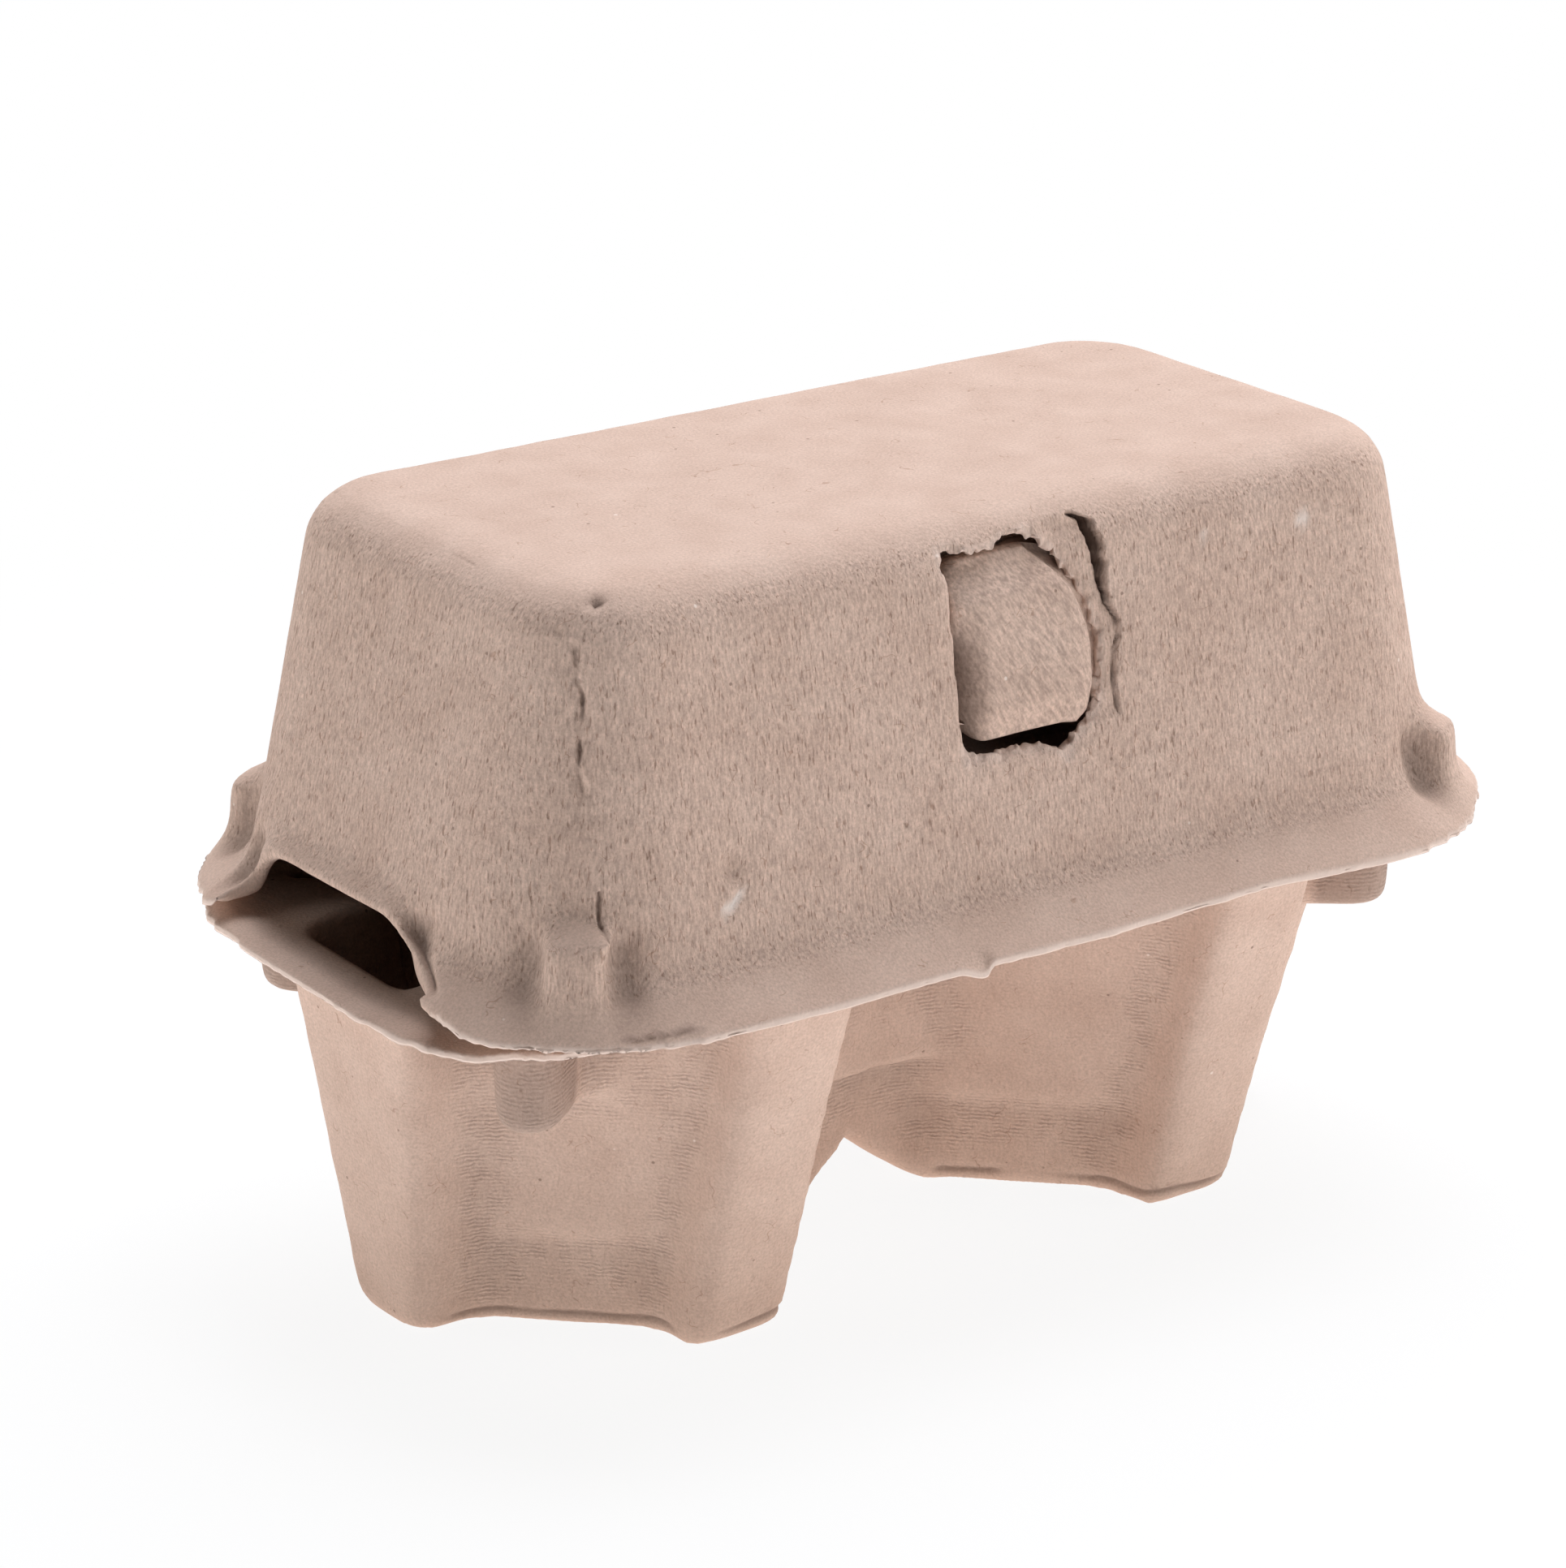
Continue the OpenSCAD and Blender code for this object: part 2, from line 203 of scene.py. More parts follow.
x, y, z = places.T
over_hinge = np.clip(z - hinge_z, 0, None)
from_flap = y - hinge_y + np.sqrt(flap_radius ** 2 - over_hinge ** 2)
on_flap = ease(z, 34.5, 45) * (y < 5)
on_button = ease(from_flap, -0.4, -1.4) * on_flap
stretch = np.where(z < button_z, stretch_below, stretch_above) * (z - button_z)
corners = (0.85 * ease(x, -4.4, -6.9) - 0.4 * ease(x, 3.4, 6)) * ease(z, 52, 50)
places[:, 2] += (stretch + corners) * on_button
squeeze = np.interp(z, *zip(*button_side)) / button_half
places[:, 0] += np.where(x > 0, x * (squeeze - 1), 0.02 * x) * on_button
left_side = ease(x, -4.2, -7) * ease(z, 59, 54)
cushion = 0.45 * ease(np.abs(x + 0.2), 4, button_half) + 0.5 * ease(z, 51, 48.6)
cushion = (cushion + 1.2 * ease(z, 58.5, 62.3) + 2.0 * left_side) * on_button
pressed = sill_press * ease(np.abs(x), 8.6, 6.6) * between(z, 43, 45.5, 48.4, 49.4) * (1 - on_button)
tucked = between(x, 0.2, 2.6, 5, 8) * ease(z, 57.5, 59) * (1 - on_button)
standing_y = front_wall_y(np.minimum(z, 60)) + flap_setback + 0.9 * ease(z, 58.5, 62)
relief_y = np.where(from_flap < 0, button_flatter * from_flap, from_flap)
places[:, 1] += on_flap * (standing_y + relief_y + cushion + pressed + tucked - y)
left_side = left_side * on_button

# The rim has sagged away from the lid at the left, two of its ears droop, and its edge is thin and torn.
rim_sag = [(-28, 0), (-24, 1.3), (-18, 1.9), (-9, 1.6), (0, 1.25), (8, 1.0), (16, 0.6), (26, 0)]
edge_thinning = 0.6
tray_ear_droop = 1.1
rag_depth = 0.45


def drooping_ears(x, y, past_rim):
    """Share by which a place is in the two opposite corners of a rim that droop."""
    return ease(past_rim, -2.5, 1.5) * ease(x * -y, 500, 1000)


def lumps(places, size, seed):
    """Even random field, from -1 to 1, whose lumps have the given size in millimetres."""
    shift = Vector((seed * 17.3, seed * 5.9, seed * 11.1))
    return np.array([noise.noise(Vector(p) + shift) for p in places / size])


def pushed(places, normals, height):
    """Places moved along their normals by a height."""
    return places + normals * height[:, None]


past_rim = past_outline(x, y, **tray_rim)
is_rim = between(z, 29.5, 31.4, 33.3, 33.8)
near_edge = ease(past_rim, -3.2, -0.4) * is_rim
droop = tray_ear_droop * drooping_ears(x, y, past_rim) * is_rim
sag = np.interp(y, *zip(*rim_sag)) * ease(-x, 41.5, 50) * is_rim
places[:, 2] += edge_thinning * near_edge * ease(-normals[:, 2], 0.2, 0.8) - sag - droop
ragged = np.clip(0.1 + 0.16 * lumps(places, 3.2, 5) + 0.16 * lumps(places, 1.1, 6), 0, rag_depth)
tray_torn = near_edge * ease(np.abs(normals[:, 2]), 0.85, 0.4) * (past_rim > -1.2)
places = pushed(places, normals * (1, 1, 0), -ragged * tray_torn)

# The sheet is a little uneven all over, and its feet are folded in a crease just above the ground.
crease_height, crease_depth = 1.3, 0.25


def put_back(sheet, places):
    """Moves the vertices to their places."""
    for vert, place in zip(sheet.verts, places * mm):
        vert.co = place


def hollows(places, normals, links):
    """How far each place lies below the smoothed-out surface round it, in millimetres."""
    return ((melted(places, links, 1, 40) - places) * normals).sum(axis=1)


def bump(value, middle, reach):
    """Smooth hump of height 1 round a middle value."""
    return ease(np.abs(value - middle), reach, 0)


def close_up(piece, sheet, **marks):
    """Writes a worked sheet into its piece, with smooth faces and one attribute for each mark."""
    sheet.to_mesh(piece.data)
    sheet.free()
    piece.data.shade_smooth()
    for name, values in marks.items():
        attribute = piece.data.attributes.new(name, "FLOAT", "POINT")
        attribute.data.foreach_set("value", np.asarray(values, dtype=np.float32))


places = pushed(places, normals, 0.07 * lumps(places, 9, 1) + 0.035 * lumps(places, 2.4, 2))
put_back(tray_sheet, places)
places, normals = places_of(tray_sheet)
tray_hollow = hollows(places, normals, links)
wavy_height = crease_height + 0.5 * lumps(places * (1, 1, 0), 5, 8)
foot_crease = bump(places[:, 2], wavy_height, 0.5) * ease(normals[:, 2], 0.6, 0.3)
foot_crease = foot_crease * ease(lumps(places, 7, 9), -0.35, -0.05)
places = pushed(places, normals, -crease_depth * foot_crease)
put_back(tray_sheet, places)
upright = ease(np.abs(normals[:, 2]), 0.9, 0.6)
low_panel = between(places[:, 2], 1.2, 2.6, 8.5, 10.5) * ease(tray_hollow, -0.05, 0.12)
tray_wire = 1.1 * ease(tray_hollow, 0.03, 0.35) + 0.9 * on_lug + 0.75 * low_panel
tray_wire = np.clip(0.12 + tray_wire * (0.85 + 0.5 * lumps(places, 5, 7)), 0, 1) * upright
# Painted shade, as dark brown: the crease over the feet, the pocket under the button, the tuck at its top
# right and the button's left side.
tray_deep = np.clip(0.55 * foot_crease + 0.16 * pressed + 0.4 * tucked + 0.3 * left_side, 0, 0.8)
# Painted shade, as darker pulp: the tray's hollows, the faces of the lugs under the rim and the button's
# left side.
tray_shade = np.maximum(0.35 * tray_hollow, lug_shade) + 0.8 * left_side
# The torn rim edge gets pale bare fibre and a painted highlight along the edge.
close_up(tray, tray_sheet, hollow=tray_shade, torn=tray_torn, wire=tray_wire * (1 - on_button),
         streak=0.2 * upright, weave=on_button, deep=tray_deep)


def knot(tree, kind, inputs=None, **settings):
    """Adds a node, with its settings, and fills its inputs with values or with other nodes' outputs."""
    made = tree.nodes.new("ShaderNode" + kind)
    for key, value in settings.items():
        setattr(made, key, value)
    for key, value in (inputs or {}).items():
        if isinstance(value, bpy.types.NodeSocket):
            tree.links.new(value, made.inputs[key])
        else:
            made.inputs[key].default_value = value
    return made


def remap(tree, value, low, high, to_low, to_high):
    """Value moved from one span to another, and held inside it."""
    return knot(tree, "MapRange", {"Value": value, "From Min": low, "From Max": high,
                                   "To Min": to_low, "To Max": to_high}).outputs["Result"]


def times(tree, value, factor):
    """Product of two values."""
    return knot(tree, "Math", {0: value, 1: factor}, operation="MULTIPLY").outputs[0]


def times_plus(tree, value, factor, rest):
    """Product of two values, added to a third."""
    return knot(tree, "Math", {0: value, 1: factor, 2: rest}, operation="MULTIPLY_ADD").outputs[0]


def tint(tree, way, share, below, above):
    """Two colours mixed in the given way, by a share."""
    factor, under, over = 0, 6, 7
    return knot(tree, "Mix", {factor: share, under: below, over: above},
                data_type="RGBA", blend_type=way).outputs[2]


def pulp_material(name):
    """Matte felt of waste-paper fibres with the wire's print, hairs and specks, pale ripped edges with a
    painted highlight, and painted shade in hollows and cracks.
    """
    greyer_pulp, paler_pulp = (0.573, 0.41, 0.327, 1), (0.629, 0.461, 0.373, 1)
    dark_streak, dark_hair = (0.68, 0.63, 0.6, 1), (0.78, 0.73, 0.69, 1)
    dark_speck, white_speck = (0.24, 0.16, 0.12, 1), (0.8, 0.68, 0.6, 1)
    # Bare fibre for the torn edges, made pale enough to paint a highlight along them.
    bare_fibre_and_highlight, scuffed_fibre = (0.76, 0.61, 0.525, 1), (0.83, 0.73, 0.66, 1)
    # The dark brown of the painted shade in cracks, creases and pockets.
    painted_crack_shade = (0.075, 0.045, 0.033, 1)
    fibre_lean = math.radians(-33)
    material = bpy.data.materials.new(name)
    material.use_nodes = True
    tree = material.node_tree
    shader = tree.nodes["Principled BSDF"]
    shader.inputs["Roughness"].default_value = 0.95
    shader.inputs["Specular IOR Level"].default_value = 0.12
    metres = knot(tree, "TexCoord").outputs["Object"]

    def scaled(*scale):
        return knot(tree, "Mapping", {"Vector": metres, "Scale": scale}).outputs["Vector"]

    def mark(attribute):
        return knot(tree, "Attribute", attribute_name=attribute).outputs["Fac"]

    def cloud(vector, scale, detail):
        return knot(tree, "TexNoise", {"Vector": vector, "Scale": scale, "Detail": detail}).outputs["Fac"]

    # Fields: fibres up the walls and dark streaks along them, the wire's lines and the button's weave.
    place = scaled(1000, 1000, 1000)
    streak, weave = mark("streak"), mark("weave")
    mottle = cloud(place, 0.2, 4)
    grain = cloud(place, 4.6, 3)
    fluff = cloud(place, 1.5, 3)
    print_up = cloud(scaled(4200, 4200, 1000), 1, 2)
    dark_up = times(tree, remap(tree, cloud(scaled(4400, 4400, 800), 1, 2), 0.6, 0.7, 0, 1), streak)
    patchy = remap(tree, cloud(place, 0.7, 3), 0.38, 0.62, 0.1, 1)
    wire = times(tree, mark("wire"), patchy)
    print_across = knot(tree, "TexWave", {"Vector": place, "Scale": 0.84, "Distortion": 4.6, "Detail": 4,
                                          "Detail Scale": 1.6}, bands_direction="Z").outputs["Fac"]
    aslant = knot(tree, "Mapping", {"Vector": metres, "Scale": (0.0003, 0.0003, 0.0011),
                                    "Rotation": (0, fibre_lean, 0)}, vector_type="TEXTURE")
    print_aslant = cloud(aslant.outputs["Vector"], 1, 2)

    # Colour: mottled pulp, darker in the prints, with painted shade in the hollows.
    color = tint(tree, "MIX", remap(tree, mottle, 0.32, 0.68, 0, 1), greyer_pulp, paler_pulp)
    color = tint(tree, "MULTIPLY", streak, color, remap(tree, print_up, 0.3, 0.7, 0.78, 1.13))
    color = tint(tree, "MULTIPLY", dark_up, color, dark_streak)
    color = tint(tree, "MULTIPLY", wire, color, remap(tree, print_across, 0, 0.8, 0.77, 1.05))
    color = tint(tree, "MULTIPLY", weave, color, remap(tree, print_aslant, 0.3, 0.7, 0.72, 1.16))
    color = tint(tree, "MULTIPLY", 1.0, color, remap(tree, grain, 0.3, 0.7, 0.88, 1.1))
    color = tint(tree, "MULTIPLY", 1.0, color, remap(tree, mark("hollow"), 0.04, 0.6, 1, 0.62))

    # Hairs and specks in the pulp, and over them the torn edges in pale bare fibre with a painted highlight,
    # the scuffed places, and painted shade in the cracks, creases and pockets.
    drift = knot(tree, "TexNoise", {"Vector": place, "Scale": 0.4}).outputs["Color"]
    bent = knot(tree, "VectorMath", {0: drift, 1: (3, 3, 3), 2: place}, operation="MULTIPLY_ADD").outputs[0]
    web = knot(tree, "TexVoronoi", {"Vector": bent, "Scale": 0.36}, feature="DISTANCE_TO_EDGE")
    strand = times(tree, remap(tree, web.outputs["Distance"], 0.006, 0.016, 1, 0),
                   remap(tree, cloud(place, 0.6, 1), 0.62, 0.66, 0, 1))
    color = tint(tree, "MULTIPLY", strand, color, dark_hair)
    for scale, radius, few, speck_color in ((0.55, 0.06, 0.7, dark_speck), (0.4, 0.05, 0.8, white_speck)):
        cell = knot(tree, "TexVoronoi", {"Vector": place, "Scale": scale})
        speck = times(tree, remap(tree, cell.outputs["Distance"], radius, radius * 1.5, 0.75, 0),
                      remap(tree, cell.outputs["Color"], few, few + 0.02, 0, 1))
        color = tint(tree, "MIX", speck, color, speck_color)
    color = tint(tree, "MIX", remap(tree, mark("torn"), 0, 1, 0, 0.85), color, bare_fibre_and_highlight)
    color = tint(tree, "MIX", mark("pale"), color, scuffed_fibre)
    color = tint(tree, "MIX", mark("deep"), color, painted_crack_shade)
    tree.links.new(color, shader.inputs["Base Color"])

    # Relief in millimetres.
    relief = times(tree, grain, 0.05)
    relief = times_plus(tree, fluff, 0.05, relief)
    relief = times_plus(tree, times(tree, print_up, streak), 0.07, relief)
    relief = times_plus(tree, dark_up, -0.03, relief)
    relief = times_plus(tree, times(tree, print_across, wire), 0.05, relief)
    relief = times_plus(tree, times(tree, print_aslant, weave), 0.04, relief)
    raised = knot(tree, "Bump", {"Strength": 1.0, "Distance": mm, "Height": relief})
    tree.links.new(raised.outputs["Normal"], shader.inputs["Normal"])
    return material


pulp = pulp_material("pulp")
tray.data.materials.append(pulp)
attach(tray, "tray")
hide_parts("tray")

# The lid: a drafted cap of the same pulp, with a rim, an arched vent at each end, a hollow post at
# each corner and a window for the flap's button. The window was punched while the pulp was damp,
# so its edge is torn and a tongue of the wall still hangs in its right-hand side.
lid_rim = {"half_x": 52.5, "low_y": -30, "high_y": 30, "corner": 19}
hole_outline = [
    (-7.4, 63.0), (-6.95, 59.6), (-7.0, 55.3), (-6.95, 47.0), (-5.1, 47.3), (-3.6, 47.0), (-3.2, 47.5),
    (-1.6, 47.2), (0.0, 46.9), (1.5, 46.8), (2.2, 46.4), (2.8, 45.6), (3.1, 46.3), (3.7, 47.0),
    (4.4, 47.4), (5.1, 47.8), (5.8, 48.4), (6.4, 49.4), (6.7, 51.2), (7.0, 53.6), (6.8, 55.3),
    (6.1, 56.9), (5.3, 58.3), (4.6, 59.5), (3.8, 60.7), (3.1, 61.5), (2.2, 62.1), (1.4, 62.5),
    (1.1, 63.1), (0.1, 62.9), (-1.0, 63.0), (-1.9, 62.7), (-3.4, 62.3), (-5.1, 62.4), (-6.6, 62.9)]
tongue_crack = [(6.0, 63.7), (7.2, 63.1), (7.7, 61.4), (8.0, 59.6), (8.0, 57.8), (8.3, 56.5), (9.1, 55.2),
                (9.0, 53.9), (8.4, 52.5), (8.2, 50.4), (8.4, 48.4)]
plug_half_x, plug_half_z, plug_z = 9.6, 8.7, 54.6
plug_thickness, plug_setback = 1.32, 0.05
punch_y, punch_depth = -30, 15


def shaper(name, sheet):
    """Object that only shapes another one."""
    mesh = bpy.data.meshes.new(name)
    bmesh.ops.recalc_face_normals(sheet, faces=sheet.faces)
    sheet.to_mesh(mesh)
    sheet.free()
    made = bpy.data.objects.new(name, mesh)
    bpy.context.scene.collection.objects.link(made)
    return made


def thicken(sheet, depth):
    """Draws all faces of a sheet backwards into a block."""
    drawn = bmesh.ops.extrude_face_region(sheet, geom=sheet.faces[:])
    bmesh.ops.translate(sheet, vec=(0, depth * mm, 0),
                        verts=[v for v in drawn["geom"] if isinstance(v, bmesh.types.BMVert)])


# The solid's plain window is plugged, and punched anew with its torn outline.
lid = blank("lid", "lid")
plug_sheet = bmesh.new()
bmesh.ops.create_grid(plug_sheet, x_segments=1, y_segments=40, size=1)
for vert in plug_sheet.verts:
    height = plug_z + plug_half_z * vert.co.y
    vert.co = Vector((plug_half_x * vert.co.x, float(front_wall_y(height)) + plug_setback, height)) * mm
thicken(plug_sheet, plug_thickness)
plug = shaper("plug", plug_sheet)
punch_sheet = bmesh.new()
punch_sheet.faces.new([punch_sheet.verts.new((hole_x * mm, punch_y * mm, hole_z * mm))
                       for hole_x, hole_z in hole_outline])
thicken(punch_sheet, punch_depth)
punch = shaper("punch", punch_sheet)
for tool, way in ((plug, "UNION"), (punch, "DIFFERENCE")):
    work = lid.modifiers.new(way.lower(), "BOOLEAN")
    work.operation = way
    work.solver = "EXACT"
    work.object = tool
settled(lid)
bpy.data.objects.remove(plug)
bpy.data.objects.remove(punch)
lid_sheet = felt(lid, grain=0.66, soften=2)

# The felt is made finer where the lid is cracked or torn.
corner_crack = [(-39.9, 61.3), (-40.1, 59.0), (-39.9, 57.4), (-40.3, 55.2), (-40.7, 52.6), (-40.6, 51.0),
                (-41.4, 48.4)]
low_crack = [(-40.4, 43.2), (-40.6, 42.0), (-40.9, 40.4)]
top_seam = [(-38.4, 17.5, 64.2), (-39.5, 5, 64.2), (-40.0, -5, 64.1), (-40.4, -10.5, 63.4),
            (-40.6, -14, 62.5), (-40.4, -18.8, 61.9)]
hole_loop = hole_outline + hole_outline[:1]


def path_reach(spots, path):
    """Distance of spots from a path of points, in a plane or in space."""
    reach = np.full(len(spots), 1e3)
    for a, b in zip(np.array(path[:-1], float), np.array(path[1:], float)):
        along = np.clip((spots - a) @ (b - a) / ((b - a) @ (b - a)), 0, 1)
        reach = np.minimum(reach, np.linalg.norm(spots - a - along[:, None] * (b - a), axis=1))
    return reach


def on_front(places, normals):
    """Share by which a place is on the outside of the front wall or of the corners beside it."""
    return ease(-normals[:, 1], 0.15, 0.45) * ease(places[:, 1], -8, -12)


for reach in (1.7, 0.9):
    places, normals = places_of(lid_sheet)
    x, y, z = places.T
    front = (on_front(places, normals) > 0.2) | ((z > 45.5) & (np.abs(x) < 11) & (y < -15))
    near = np.min([path_reach(places[:, [0, 2]], path)
                   for path in (corner_crack, low_crack, tongue_crack, hole_loop)], axis=0)
    refine(lid_sheet, (front & (near < reach)) | (path_reach(places, top_seam) < reach * 0.6))
places, normals = places_of(lid_sheet)
x, y, z = places.T
refine(lid_sheet, (past_outline(x, y, **lid_rim) > -1.3) & (z < 35.2) & (y < 20))
places, normals = places_of(lid_sheet)
links = neighbours(lid_sheet)

# The posts have slumped into soft bumps, with a groove down each side, and so has the lip over each vent.
corner_x, corner_y = 33.0, 10.0
post_turn, front_groove_turn, end_groove_turn = 52, 65, 38.5
side_depth, vent_depth = 0.75, 1.0
x, y, z = places.T
out_x, out_y = np.abs(x) - corner_x, np.abs(y) - corner_y
turn = np.degrees(np.arctan2(out_y, out_x))
from_corner = np.hypot(out_x, out_y)
outer = ease(normals[:, 0] * np.sign(x) * np.maximum(out_x, 0.01)
             + normals[:, 1] * np.sign(y) * np.maximum(out_y, 0.01), -0.5, 1.5)
at_post = bump(turn, post_turn, 26) * ease(from_corner, 10, 13) * between(z, 33.4, 35, 41, 45)
at_vent = ease(np.abs(x), 44.5, 46.5) * ease(np.abs(y), 16, 12) * ease(z, 45, 41)
places = melted(places, links, 0.85 * np.clip(at_post + 0.35 * at_vent, 0, 1), 12)
x, y, z = places.T
side_groove = np.maximum(bump(turn, front_groove_turn, 8.5), 0.8 * bump(turn, end_groove_turn, 9))
side_groove = side_groove * ease(from_corner, 10, 12) * between(z, 34, 36, 38.5, 42) * outer
vent_groove = bump(np.abs(y), 11.6, 2.1) * ease(np.abs(x), 44, 46) * between(z, 34.4, 35.6, 37, 40) * outer

# Each vent has dried wider at its back, and its lower ends curl away from it into the rim.
vent_widening = 2.6
front_curl, back_curl = -3, 1.8
jamb_inwards, tip_tuck = 3.4, 1.5
at_end = ease(np.abs(x), 42.5, 45.5)
places[:, 1] += vent_widening * between(y, 3, 9.5, 11.5, 18) * at_end * ease(z, 44, 39.5)
curl = between(np.abs(y), 4.5, 7, 8, 17) * ease(np.abs(x), 46.5, 50.5) * ease(z, 38, 35.5)
jamb = between(-y, 4, 7, 10, 19) * between(np.abs(x), 43.5, 45.5, 47.5, 50.5) * ease(z, 41.5, 37.5)
tuck = ease(y, -21, -12) * (y < 0) * ease(np.abs(x), 48.5, 52) * ease(z, 38, 35.5)
places[:, 1] += np.where(y < 0, front_curl, back_curl) * curl + jamb_inwards * jamb
places[:, 0] -= tip_tuck * np.sign(x) * tuck
by_vent = ease(np.abs(x), 44.5, 46.5) * between(np.abs(y), 5, 7, 13, 16) * ease(z, 39, 36.5)
places = melted(places, links, 0.7 * by_vent, 5)

# Breaks and dents that the wall has got since: cracks at a corner, a dimple, a nick and pits.
nick_path = [(-30.9, 40.2), (-30.1, 40.7), (-29.0, 41.6)]
pit_place = (-37.6, -17.9, 64.2)
crack_half = 0.22


def spot(x, z, middle, edge, core):
    """Round spot on the front: 0 at its edge and 1 in its core."""
    return ease(np.hypot(x - middle[0], z - middle[1]), edge, core)


x, y, z = places.T
front = on_front(places, normals)
wall_spots = np.stack([x + 0.2 * lumps(places, 1.6, 31) + 0.12 * lumps(places, 0.5, 42), z], axis=1)
crack_reach = path_reach(wall_spots, corner_crack)
broken = ease(lumps(places, 1.5, 32), -0.25, 0.15)
crack = ease(crack_reach, crack_half, 0.03) * (0.25 + 0.75 * broken) * (0.4 + 0.6 * bump(z, 55.5, 5))
crack = (crack + 0.7 * ease(path_reach(wall_spots, low_crack), crack_half, 0.03)) * front
fold = bump(crack_reach, 0, 1.6) * front
crack_lip = bump(crack_reach, 0.6, 0.4) * front * ease(wall_spots[:, 0], -41, -40)
seam_reach = path_reach(places + 0.2 * lumps(places, 2, 43)[:, None], top_seam)
seam = ease(seam_reach, 0.3, 0.06) * (0.35 + 0.65 * ease(lumps(places, 3, 44), -0.2, 0.2))
dimple = ease(np.hypot(x + 29.7, (z - 43.6) * 0.8), 1.5, 0.2) * front
nick = ease(path_reach(places[:, [0, 2]], nick_path), 0.45, 0.1) * front
pit = ease(np.linalg.norm(places - pit_place, axis=1), 0.75, 0.2)
dents = (spot(x, z, (-23.3, 45.2), 1.0, 0.1) + spot(x, z, (34.2, 41.5), 1.4, 0.2)) * front
depth = side_depth * side_groove + vent_depth * vent_groove + 0.4 * crack + 0.12 * fold + 0.15 * seam
depth = depth + 0.55 * dimple + 0.3 * nick + 0.5 * pit + 0.25 * dents
places = pushed(places, normals, 0.14 * crack_lip - depth)

# The tongue has been pushed in behind a torn crack, and the window's edge is frayed.
x, y, z = places.T
window_wall = (z > 45) & (z < 64.4) & (np.abs(x) < 14) & (y < -15)
crack_x = np.interp(z, *zip(*[(wall_z, wall_x) for wall_x, wall_z in tongue_crack[::-1]]))
left_of_crack = crack_x + 0.2 * lumps(places, 0.9, 33) - x
tongue = ease(left_of_crack, 0.0, 0.4) * between(z, 47.4, 48.6, 62.8, 63.9) * ease(x, 1.0, 4.4) * window_wall
gash_half = 0.06 + 0.3 * ease(z, 56.5, 61)
gash = ease(np.abs(left_of_crack - 0.15), gash_half + 0.16, gash_half - 0.06) * window_wall
gash = gash * between(z, 47.6, 48.4, 63.2, 64.0) * ease(-normals[:, 1], 0.1, 0.5)
gash = np.clip(gash * (0.5 + 0.6 * ease(z, 54.5, 57.5) + 0.6 * lumps(places, 1.3, 34)), 0, 1)
places[:, 1] += (0.35 + 0.4 * ease(z, 52, 60)) * tongue + 0.8 * gash
clean_cut = ease(x, -5.4, -6.4) * between(z, 47.8, 48.8, 61, 62)
fray = ease(path_reach(places[:, [0, 2]], hole_loop), 0.9, 0.1) * window_wall * (1 - 0.9 * clean_cut)
shreds = (0.4 * lumps(places, 0.7, 35), 0.25 * lumps(places, 0.9, 36), 0.45 * lumps(places, 0.6, 37))
places += np.stack(shreds, axis=1) * fray[:, None]

# The rim flares out and droops a little along the front, two of its ears droop, and its edge is torn thin.
front_droop, front_droop_less_right = 1.3, 0.45
tooth_drop, lid_ear_droop = 0.7, 1.3
past_rim = past_outline(x, y, **lid_rim)
is_rim = ease(z, 37, 34.9)
near_edge = ease(past_rim, -3.4, -0.3) * is_rim
along_front = np.maximum(ease(y, -24, -28), ease(-x, 20, 35) * ease(y, -11, -21))
waves = 0.25 * lumps(places * (1, 0, 0), 11, 38)
along_front = along_front * (front_droop - front_droop_less_right * ease(x, 5, 35) + waves)
tooth = between(-x, 8.9, 9.7, 9.9, 12.4) * ease(y, -26, -28)
droop = along_front * ease(past_rim, -3.4, -0.2) + tooth_drop * tooth * ease(past_rim, -1.6, -0.2)
droop = droop + lid_ear_droop * drooping_ears(x, y, past_rim)
thinned = near_edge * ease(-normals[:, 2], 0.2, 0.8) * ease(past_rim, -1.8, -0.3)
places[:, 2] += edge_thinning * thinned - droop * is_rim
ragged = np.clip(0.1 + 0.17 * lumps(places, 3, 39) + 0.12 * lumps(places, 1, 40), 0, rag_depth)
lid_torn = near_edge * ease(np.abs(normals[:, 2]), 0.85, 0.35) * (past_rim > -1.2)
places = pushed(places, normals * (1, 1, 0), -ragged * lid_torn)
places = pushed(places, normals, 0.07 * lumps(places, 10, 3) + 0.03 * lumps(places, 2.4, 4))
put_back(lid_sheet, places)

# Marks for the paint: pale scuffs, painted shade in the cracks, hollows, grooves and folds, and fibres that
# run up the walls.
places, normals = places_of(lid_sheet)
x, y, z = places.T
lid_hollow = hollows(places, normals, links)
scuffs = spot(x, z, (28.5, 59.7), 1.0, 0.3) + spot(x, z, (18.3, 60.1), 0.5, 0.15)
lid_pale = 0.9 * scuffs * on_front(places, normals) * (0.7 + 0.6 * lumps(places, 0.6, 41)) + 0.9 * nick
past_rim = past_outline(x, y, **lid_rim)
rim_crack = bump(past_rim, -0.9, 0.35) * between(x, -42.5, -41, -37, -35) * (y < -20) * (normals[:, 2] > 0)
# Painted shade, as dark brown: the cracks, the gash by the tongue, the pit, the seam along the top and the
# crack in the rim.
lid_deep = np.clip(0.75 * crack + 0.9 * pit + gash + 0.45 * seam + 0.6 * rim_crack, 0, 1)
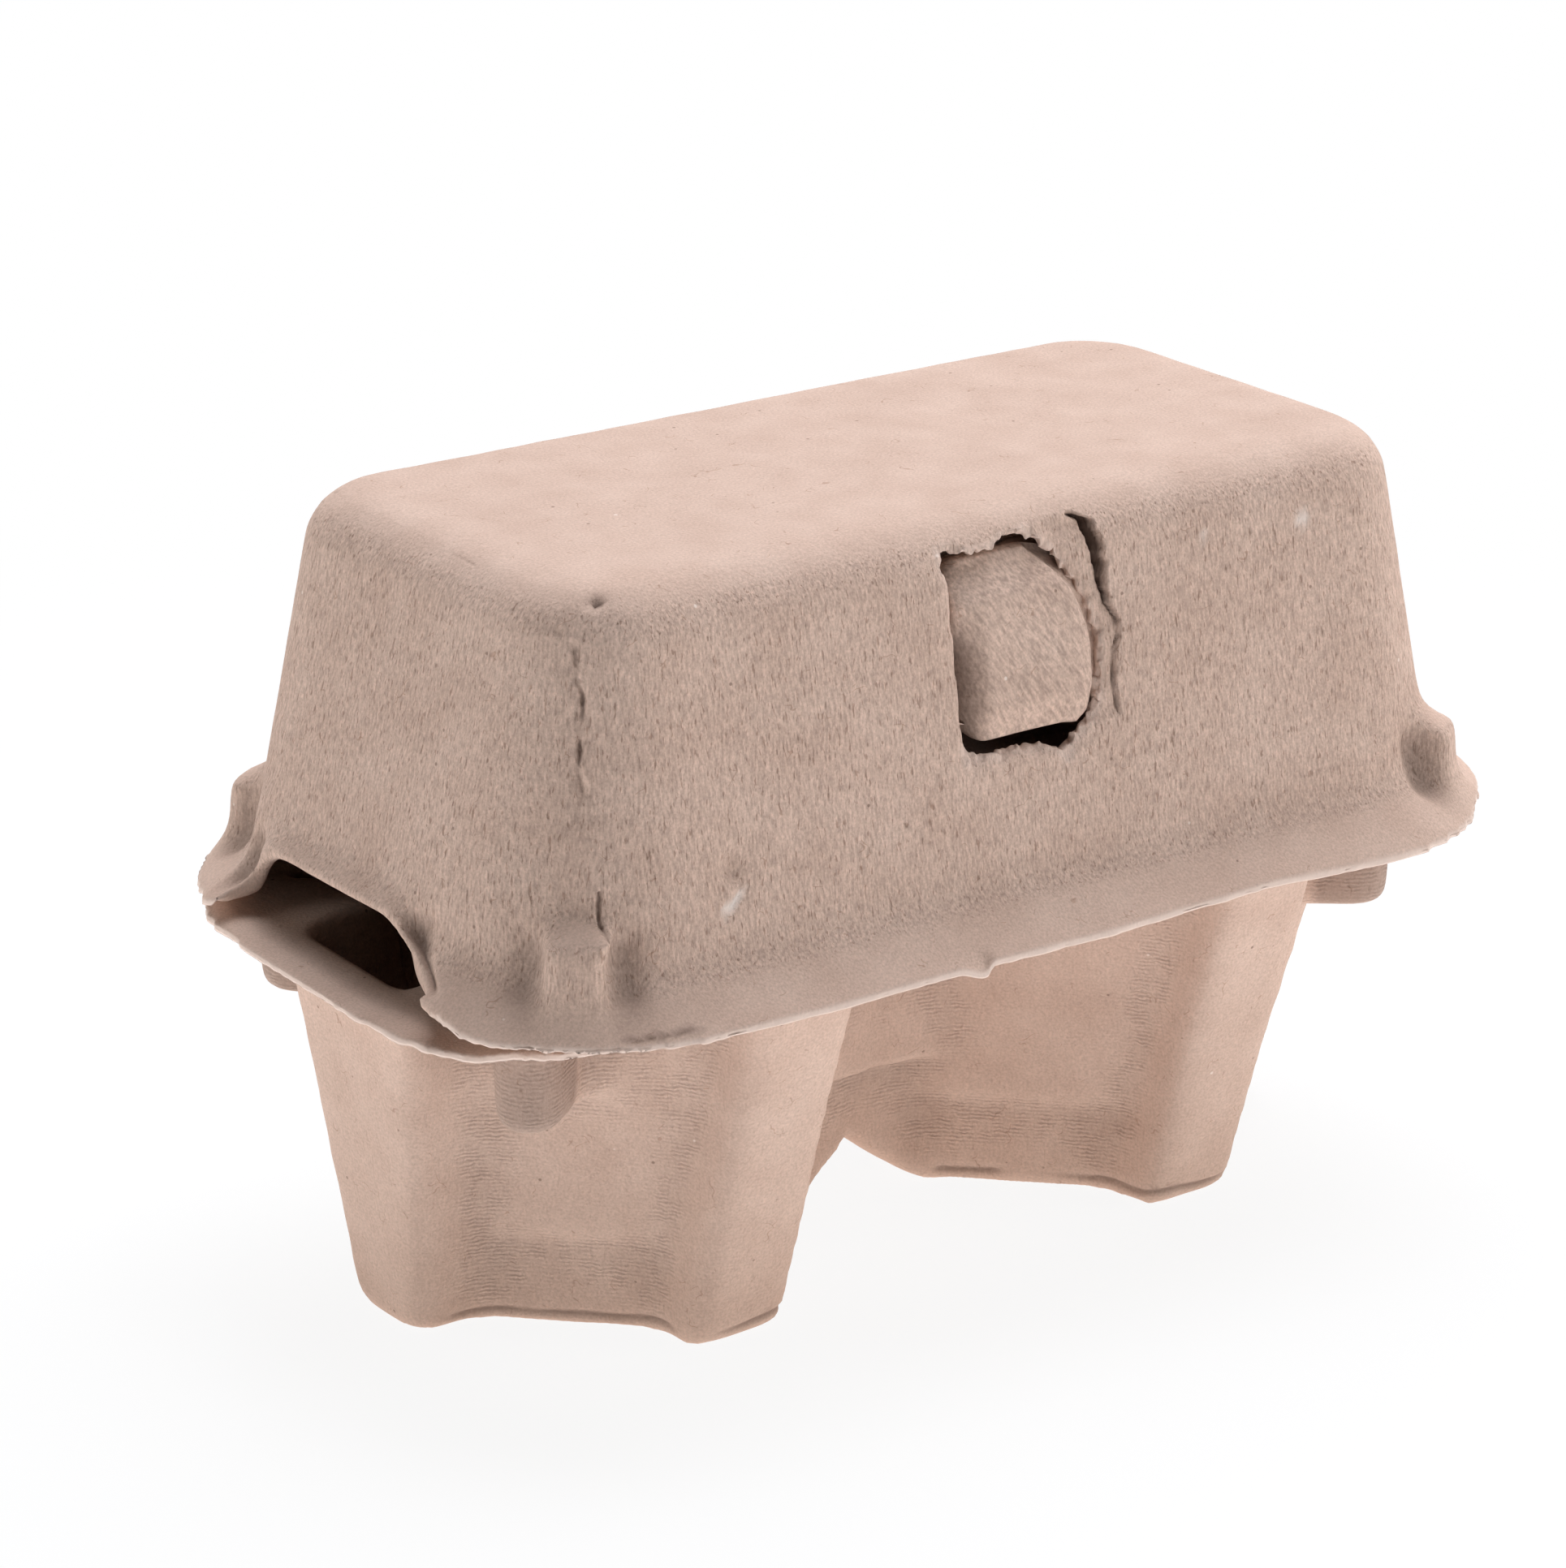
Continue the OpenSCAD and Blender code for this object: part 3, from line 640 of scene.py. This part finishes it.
# Painted shade, as darker pulp: the lid's hollows, the grooves beside the posts and vents, and the fold
# along the corner crack.
lid_shade = 0.25 * lid_hollow + 0.3 * side_groove + 0.4 * vent_groove
lid_shade = lid_shade + 0.3 * fold * ease(lumps(places, 0.8, 45), -0.1, 0.3)
lid_streak = (0.25 + 0.75 * ease(z, 34.6, 36.2)) * ease(np.abs(normals[:, 2]), 0.95, 0.6)
# The torn rim edge and the frayed window edge get pale bare fibre and a painted highlight along the edge.
close_up(lid, lid_sheet, hollow=lid_shade, torn=np.clip(lid_torn + 0.5 * fray, 0, 1), streak=lid_streak,
         deep=lid_deep, pale=np.clip(lid_pale, 0, 1))
lid.data.materials.append(pulp)
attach(lid, "lid")
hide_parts("lid")

# The studio: a white table that glows from below, so that the cups are as bright as the lid, under
# one big soft light from above, with weak fill from the right and the left. The camera sees the
# table as plain white, with a faint shadow near the box.
white = (1, 1, 1, 1)
table_radius, table_grey, table_glow = 6, (0.86, 0.86, 0.86, 1), 0.72
shadow_reach, plain_reach = 0.05, 0.2
floor_mesh = bpy.data.meshes.new("floor")
floor_sheet = bmesh.new()
bmesh.ops.create_circle(floor_sheet, cap_ends=True, segments=64, radius=table_radius)
floor_sheet.to_mesh(floor_mesh)
floor_sheet.free()
floor = bpy.data.objects.new("floor", floor_mesh)
bpy.context.scene.collection.objects.link(floor)
floor_paint = bpy.data.materials.new("floor_paint")
floor_paint.use_nodes = True
floor_tree = floor_paint.node_tree
floor_shader = floor_tree.nodes["Principled BSDF"]
floor_shader.inputs["Base Color"].default_value = table_grey
floor_shader.inputs["Roughness"].default_value = 1
floor_shader.inputs["Specular IOR Level"].default_value = 0
floor_white = knot(floor_tree, "Emission", {"Color": white, "Strength": 1.0})
table_light = knot(floor_tree, "Emission", {"Color": white, "Strength": table_glow})
lit_table = knot(floor_tree, "AddShader", {0: floor_shader.outputs[0], 1: table_light.outputs[0]})
floor_reach = knot(floor_tree, "VectorMath", {0: knot(floor_tree, "TexCoord").outputs["Object"]},
                   operation="LENGTH").outputs["Value"]
whiteness = remap(floor_tree, floor_reach, shadow_reach, plain_reach, 0.9, 1)
floor_seen = knot(floor_tree, "MixShader", {0: whiteness, 1: floor_shader.outputs[0],
                                            2: floor_white.outputs[0]})
floor_mix = knot(floor_tree, "MixShader", {0: knot(floor_tree, "LightPath").outputs["Is Camera Ray"],
                                           1: lit_table.outputs[0], 2: floor_seen.outputs[0]})
floor_tree.links.new(floor_mix.outputs[0], floor_tree.nodes["Material Output"].inputs["Surface"])
floor.data.materials.append(floor_paint)

world = bpy.data.worlds.new("studio")
bpy.context.scene.world = world
world.use_nodes = True
world.node_tree.nodes["Background"].inputs["Color"].default_value = white
world.node_tree.nodes["Background"].inputs["Strength"].default_value = 0.03


def softbox(name, place, size, watts, color=(1, 1, 1)):
    """Square lamp that faces the middle of the box."""
    lamp = bpy.data.lights.new(name, "AREA")
    lamp.size = size
    lamp.energy = watts
    lamp.color = color
    box = bpy.data.objects.new(name, lamp)
    box.location = place
    aim = Vector((0, 0, 0.03)) - box.location
    box.rotation_euler = aim.to_track_quat("-Z", "Y").to_euler()
    bpy.context.scene.collection.objects.link(box)


softbox("top_softbox", (0.3, 0.2, 0.9), 0.8, 13.4, color=(0.97, 1.0, 1.07))
softbox("left_softbox", (-0.9, 0.55, 0.28), 0.6, 2.9)
softbox("right_softbox", (0.8, -0.7, 0.4), 0.6, 3.5)

# The camera stands off the front left corner of the box, a little above it, with a long lens.
# Its place, aim and lens were fitted to the photograph, whose size and lens are given in pixels.
photo_px = (1929, 1932)
aim_px = (1051.74, 1028.87)
focal_px = 6842.11
sensor_mm = 36
azimuth, elevation, roll = (math.radians(a) for a in (-37.29, 20.2, 0.58))
distance = 453.27 * mm
target = Vector((0, 0, 32.5 * mm))
back = Vector((math.sin(azimuth) * math.cos(elevation),
               -math.cos(azimuth) * math.cos(elevation), math.sin(elevation)))
right = Vector((math.cos(azimuth), math.sin(azimuth), 0))
up = back.cross(right)
across = right * math.cos(roll) + up * math.sin(roll)
upward = up * math.cos(roll) - right * math.sin(roll)
lens = bpy.data.cameras.new("camera")
lens.sensor_width = sensor_mm
lens.lens = sensor_mm * focal_px / max(photo_px)
lens.shift_x = (photo_px[0] / 2 - aim_px[0]) / max(photo_px)
lens.shift_y = (aim_px[1] - photo_px[1] / 2) / max(photo_px)
lens.clip_start = 0.01
camera = bpy.data.objects.new("camera", lens)
camera.matrix_world = (Matrix.Translation(target + back * distance)
                       @ Matrix((across, upward, back)).transposed().to_4x4())
bpy.context.scene.collection.objects.link(camera)
bpy.context.scene.camera = camera
bpy.context.scene.view_settings.view_transform = "Standard"
